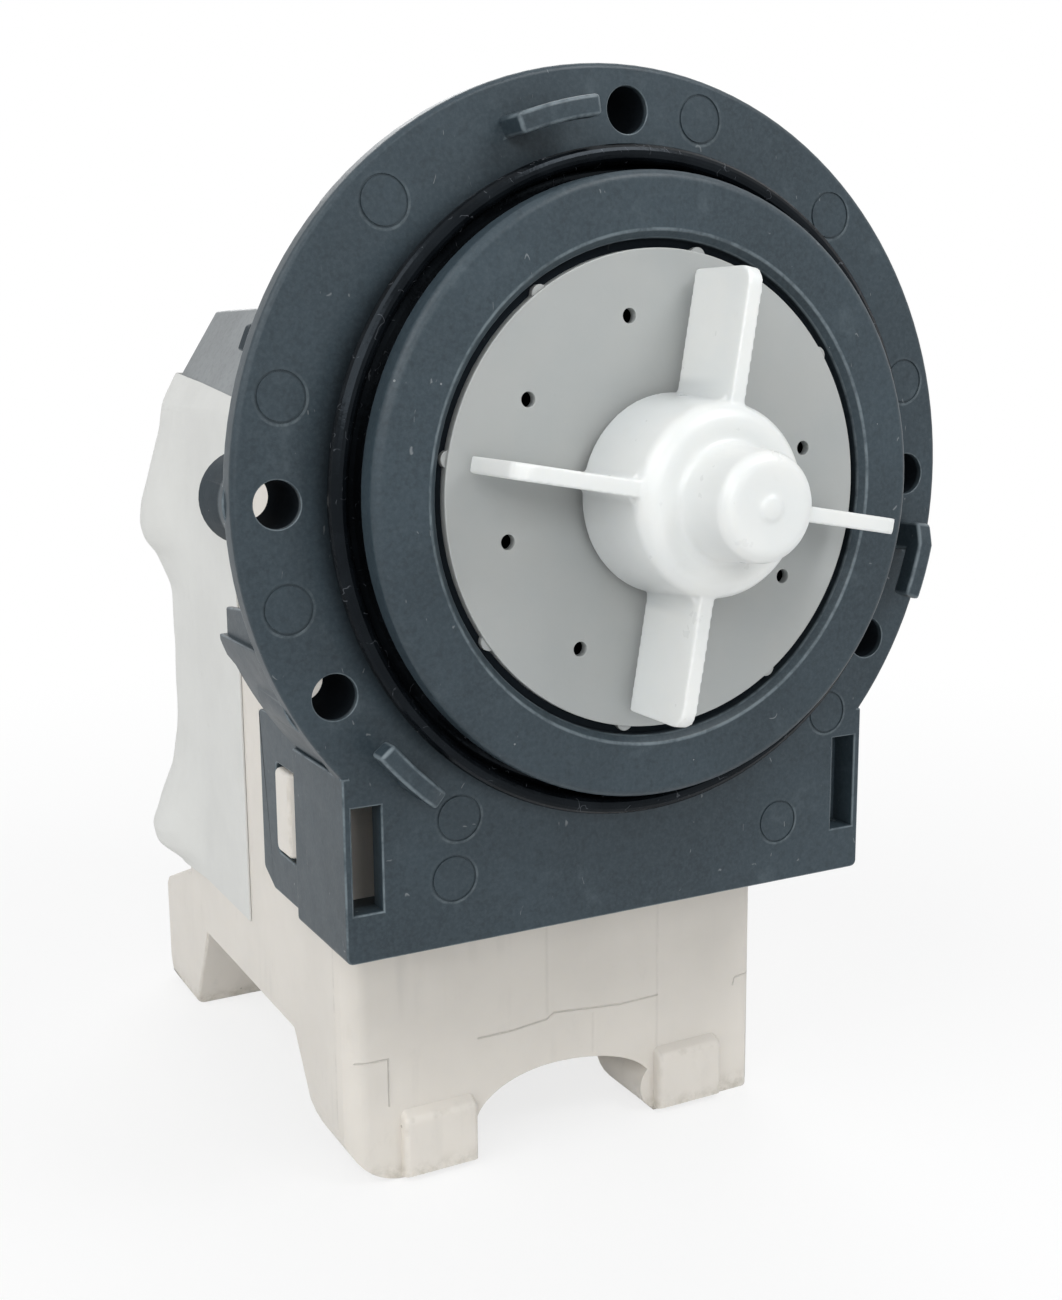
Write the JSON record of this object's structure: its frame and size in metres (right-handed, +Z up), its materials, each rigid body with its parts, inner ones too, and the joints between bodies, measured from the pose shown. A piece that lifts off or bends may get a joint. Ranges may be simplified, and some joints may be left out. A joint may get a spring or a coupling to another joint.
{
  "type": "washer drain pump",
  "caption": "Washing machine drain pump: a synchronous motor on feet behind a round bayonet flange, with a sealed collar and a bladed impeller.",
  "frame": {"origin": "centre of the front face of the round flange plate, on the shaft axis", "axes": "+Z up when the pump stands on its feet, -Y out of the flange along the shaft towards the impeller's nose, +X to the right seen from the impeller's side"},
  "size_m": [0.0956, 0.1304, 0.1378],
  "materials": {
    "slate_plastic": "satin",
    "seal_rubber": "glossy",
    "pale_plastic": "satin",
    "milky_plastic": "satin",
    "ivory_plastic": "satin",
    "shaft_steel": "ground",
    "ferrite": "matte",
    "bronze": "sintered",
    "lamination_steel": "satin",
    "copper": "enamelled",
    "tinned_brass": "bright",
    "label_paper": "matte"
  },
  "bodies": {
    "pump": {"front_flange": "slate_plastic", "flange_seal": "seal_rubber", "baffle_disc": "pale_plastic", "front_bearing": "bronze", "front_bearing_holder": "milky_plastic", "rear_bearing": "bronze", "rear_bearing_holder": "seal_rubber", "shaft_seal": "seal_rubber", "rotor_well": "milky_plastic", "well_oring": "seal_rubber", "stator_core": "lamination_steel", "bobbin_left": "milky_plastic", "bobbin_right": "milky_plastic", "coil_left": "copper", "coil_right": "copper", "thermal_cutout": "pale_plastic", "coil_housing": "ivory_plastic", "top_cover": "slate_plastic", "terminal_shroud": "milky_plastic", "terminal_blades": "tinned_brass", "paper_label": "label_paper"},
    "rotor": {"rotor_shaft": "shaft_steel", "rotor_core": "milky_plastic", "rotor_magnet": "ferrite", "front_washer": "pale_plastic", "rear_washer": "pale_plastic", "drive_dog": "pale_plastic"},
    "impeller": {"impeller": "milky_plastic", "hub_cap": "milky_plastic"}
  },
  "joints": [
    {"name": "rotor_spin", "type": "hinge", "parent": "pump", "child": "rotor", "pos_m": [0, 0, 0], "axis": [0, -1, 0], "continuous": true},
    {"name": "impeller_slip", "type": "hinge", "parent": "rotor", "child": "impeller", "pos_m": [0, -0.015, 0], "axis": [0, -1, 0], "range_deg": [-119, 119]}
  ]
}
